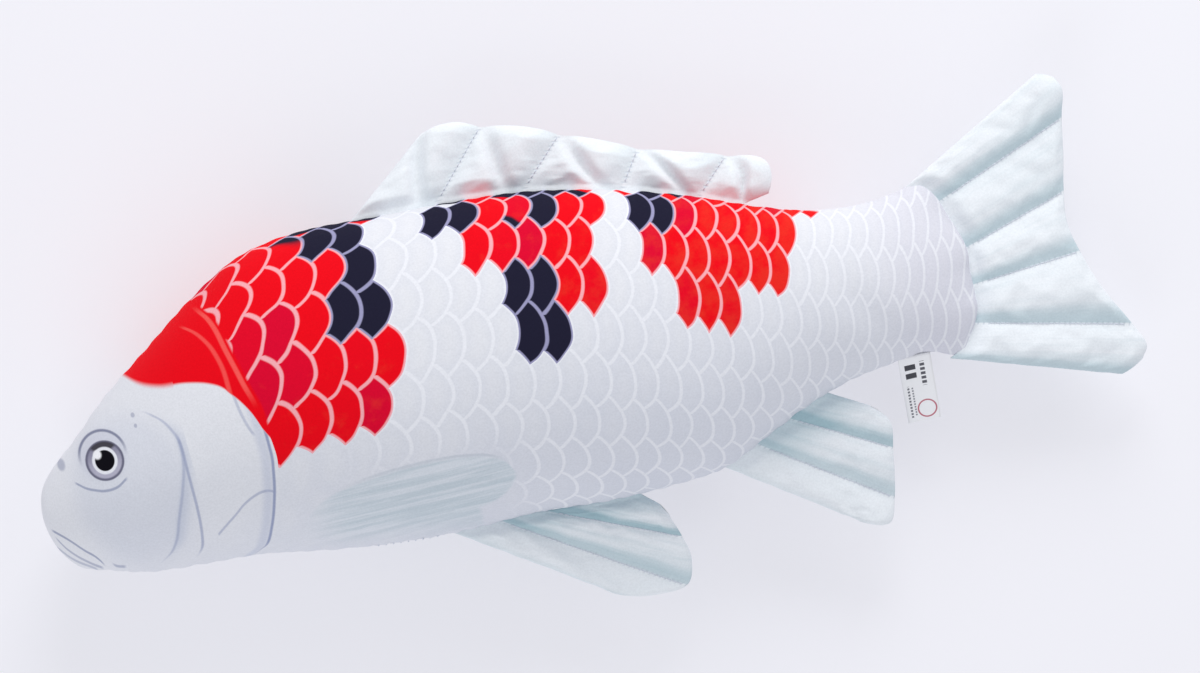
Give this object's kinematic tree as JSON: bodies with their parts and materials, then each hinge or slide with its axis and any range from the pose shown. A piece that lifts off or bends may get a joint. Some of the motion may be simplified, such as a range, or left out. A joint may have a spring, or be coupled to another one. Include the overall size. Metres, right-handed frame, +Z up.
{
  "type": "plush koi carp cushion",
  "caption": "Stuffed plush koi carp with printed scales, quilted dorsal, tail, pelvic and anal fins and a sewn-in ribbon label, lying on its side.",
  "frame": {"origin": "centre of the footprint, on the surface that the fish lies on", "axes": "+X from the snout to the tail fin, +Y from the belly to the back, +Z up out of the left flank, which faces upward"},
  "size_m": [0.6004, 0.2766, 0.1223],
  "materials": {
    "printed_plush": "short-pile printed plush",
    "fin_plush": "short-pile printed plush",
    "polyester_filling": "loose white fibre",
    "thread": "twisted polyester thread",
    "ribbon": "white satin ribbon"
  },
  "bodies": {
    "trunk": {"left_body_panel": "printed_plush", "right_body_panel": "printed_plush", "body_filling": "polyester_filling", "back_seam_thread": "thread", "belly_seam_thread": "thread", "closing_stitches": "thread"},
    "dorsal_fin": {"dorsal_fin_left_panel": "fin_plush", "dorsal_fin_right_panel": "fin_plush", "dorsal_fin_wadding": "polyester_filling", "dorsal_fin_quilting": "thread"},
    "tail_fin": {"tail_fin_left_panel": "fin_plush", "tail_fin_right_panel": "fin_plush", "tail_fin_wadding": "polyester_filling", "tail_fin_quilting": "thread"},
    "pelvic_fin": {"pelvic_fin_left_panel": "fin_plush", "pelvic_fin_right_panel": "fin_plush", "pelvic_fin_wadding": "polyester_filling", "pelvic_fin_quilting": "thread"},
    "anal_fin": {"anal_fin_left_panel": "fin_plush", "anal_fin_right_panel": "fin_plush", "anal_fin_wadding": "polyester_filling", "anal_fin_quilting": "thread"},
    "label": {"care_label": "ribbon"}
  },
  "joints": [
    {"name": "dorsal_fin_fold", "type": "hinge", "parent": "trunk", "child": "dorsal_fin", "pos_m": [0.016, 0.0915, 0.05], "axis": [0.9736, -0.2284, 0], "range_deg": [-28, 52], "stiffness_Nm_per_rad": 0.15},
    {"name": "tail_fin_bend", "type": "hinge", "parent": "trunk", "child": "tail_fin", "pos_m": [0.215, -0.006, 0.043], "axis": [0, -1, 0], "range_deg": [-18, 39], "stiffness_Nm_per_rad": 0.4},
    {"name": "pelvic_fin_fold", "type": "hinge", "parent": "trunk", "child": "pelvic_fin", "pos_m": [-0.033, -0.086, 0.05], "axis": [-0.9994, 0.0349, 0], "range_deg": [-28, 54], "stiffness_Nm_per_rad": 0.08},
    {"name": "anal_fin_fold", "type": "hinge", "parent": "trunk", "child": "anal_fin", "pos_m": [0.097, -0.078, 0.05], "axis": [-0.9336, -0.3584, 0], "range_deg": [-28, 52], "stiffness_Nm_per_rad": 0.08},
    {"name": "label_flap", "type": "hinge", "parent": "trunk", "child": "label", "pos_m": [0.177, -0.053, 0.0462], "axis": [-0.9925, 0.1219, 0], "range_deg": [-60, 100], "stiffness_Nm_per_rad": 0.004}
  ]
}
